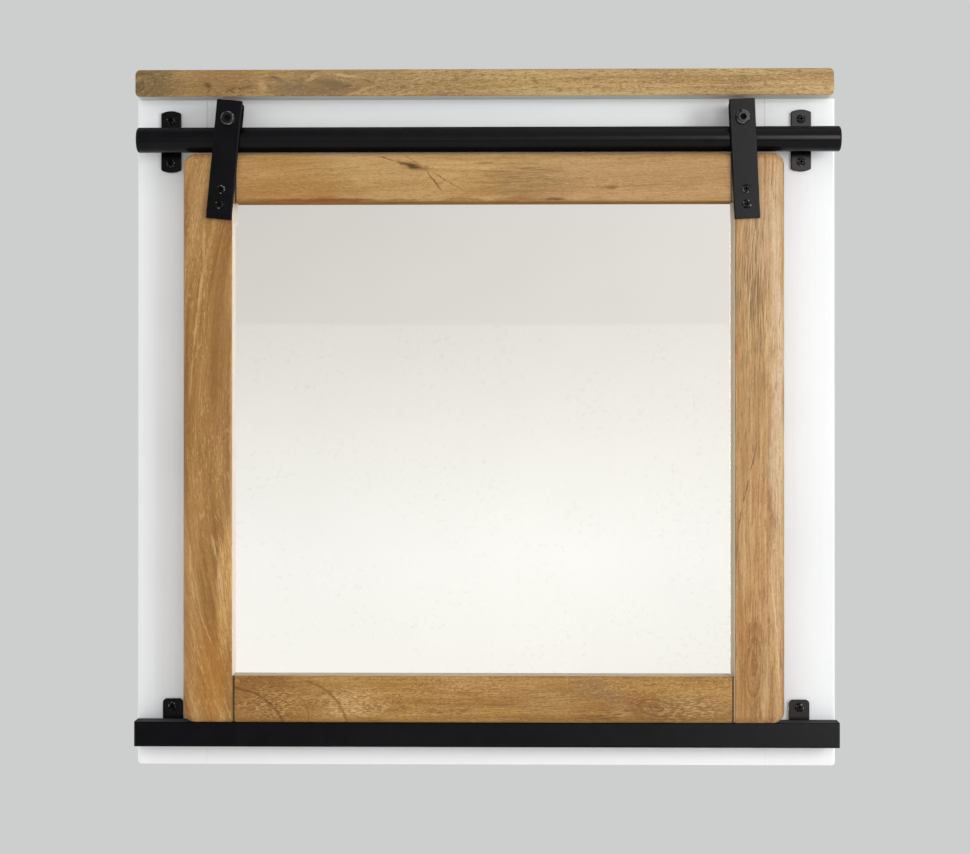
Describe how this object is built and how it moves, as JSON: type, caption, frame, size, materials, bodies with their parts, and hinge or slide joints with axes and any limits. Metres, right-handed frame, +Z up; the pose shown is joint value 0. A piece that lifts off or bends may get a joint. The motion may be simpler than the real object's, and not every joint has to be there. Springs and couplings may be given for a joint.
{
  "type": "sliding barn-door bathroom mirror",
  "caption": "Wall mirror in a wooden door frame that hangs by straps and grooved rollers from a black tube rail on a white wooden frame with a wooden cornice.",
  "frame": {"origin": "on the wall plane at the back of the white frame, midway between the entry holes of the two keyholes", "axes": "+X to the right as seen from the front, +Y into the wall, +Z up; the mirror faces -Y"},
  "size_m": [0.7017, 0.0754, 0.695],
  "materials": {
    "white_paint": "semi-gloss white paint over wood",
    "mango_wood": "satin oiled honey-brown wood",
    "cornice_wood": "satin paler grey-tan wood",
    "dowel_wood": "bare pale wood",
    "black_metal": "satin black powder coat",
    "black_screw": "black oxide",
    "zinc_steel": "zinc plated steel",
    "black_plastic": "black moulded plastic",
    "mirror": "silvered float glass",
    "backing": "brown hardboard"
  },
  "bodies": {
    "wall_frame": {"white_stile_left": "white_paint", "white_stile_right": "white_paint", "white_top_rail": "white_paint", "white_bottom_rail": "white_paint", "frame_dowels": "dowel_wood", "cornice_board": "cornice_wood", "cornice_dowels": "dowel_wood", "keyhole_plate_left": "zinc_steel", "keyhole_plate_right": "zinc_steel", "keyhole_plate_screws": "zinc_steel", "rail_tube": "black_metal", "tube_cap_left": "black_plastic", "tube_cap_right": "black_plastic", "rail_bracket_left": "black_metal", "rail_bracket_right": "black_metal", "bracket_stem_left": "black_metal", "bracket_stem_right": "black_metal", "bracket_screws": "black_screw", "bottom_bar": "black_metal", "bar_plug_left": "black_plastic", "bar_plug_right": "black_plastic", "bar_tab_left": "black_metal", "bar_tab_right": "black_metal", "tab_screws": "black_screw"},
    "door": {"door_stile_left": "mango_wood", "door_stile_right": "mango_wood", "door_top_rail": "mango_wood", "door_bottom_rail": "mango_wood", "mirror_glass": "mirror", "backing_board": "backing", "backing_clips": "zinc_steel", "clip_screws": "zinc_steel", "hanger_strap_left": "black_metal", "hanger_strap_right": "black_metal", "strap_screws": "black_screw", "axle_bolt_left": "black_screw", "axle_bolt_right": "black_screw", "axle_nut_left": "zinc_steel", "axle_nut_right": "zinc_steel"},
    "roller_left": {"roller_left": "black_metal"},
    "roller_right": {"roller_right": "black_metal"}
  },
  "joints": [
    {"name": "door_slide", "type": "slide", "parent": "wall_frame", "child": "door", "axis": [1, 0, 0], "range_m": [-0.043, 0.043]},
    {"name": "roller_left_spin", "type": "hinge", "parent": "door", "child": "roller_left", "pos_m": [-0.2532, -0.053, 0.0853], "axis": [0, 1, 0], "range_deg": [-397.4, 397.4]},
    {"name": "roller_right_spin", "type": "hinge", "parent": "door", "child": "roller_right", "pos_m": [0.25375, -0.053, 0.0853], "axis": [0, 1, 0], "range_deg": [-397.4, 397.4]}
  ],
  "couplings": [
    {"joint": "roller_left_spin", "follows": "door_slide", "rad_per_m": 161.29},
    {"joint": "roller_right_spin", "follows": "door_slide", "rad_per_m": 161.29}
  ]
}
